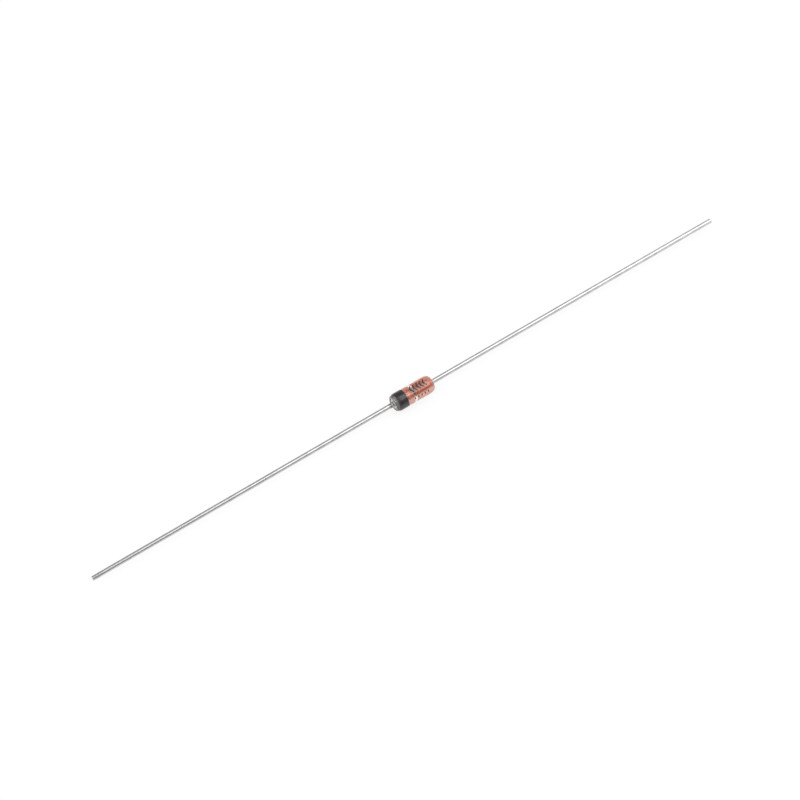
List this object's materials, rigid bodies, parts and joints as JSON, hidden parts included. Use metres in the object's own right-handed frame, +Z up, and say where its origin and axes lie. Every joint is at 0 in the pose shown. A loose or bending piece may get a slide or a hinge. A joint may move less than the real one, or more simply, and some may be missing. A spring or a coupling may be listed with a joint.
{
  "type": "zener diode",
  "caption": "Axial glass zener diode: a rounded glass sleeve sealed over two metal slugs and a silicon die, straight tinned wire leads, black cathode band.",
  "frame": {"origin": "middle of the glass sleeve, on the axis of the diode", "axes": "+X along the axis from the cathode lead to the anode lead, +Z up, +Y to the left of an eye that looks along +X"},
  "size_m": [0.0702, 0.0018, 0.0018],
  "materials": {
    "sleeve_glass": "clear fire-polished lead glass",
    "oxidised_slug": "orange-red copper oxide under the glass",
    "silicon": "sawn grey silicon",
    "silver": "matt plated silver",
    "tinned_wire": "bright drawn wire with a thin tin coat",
    "band_ink": "printed black ink, satin"
  },
  "bodies": {
    "root": {"glass_sleeve": "sleeve_glass", "cathode_slug": "oxidised_slug", "anode_slug": "oxidised_slug", "zener_die": "silicon", "contact_bump": "silver", "cathode_lead": "tinned_wire", "anode_lead": "tinned_wire", "cathode_band": "band_ink"}
  },
  "joints": []
}
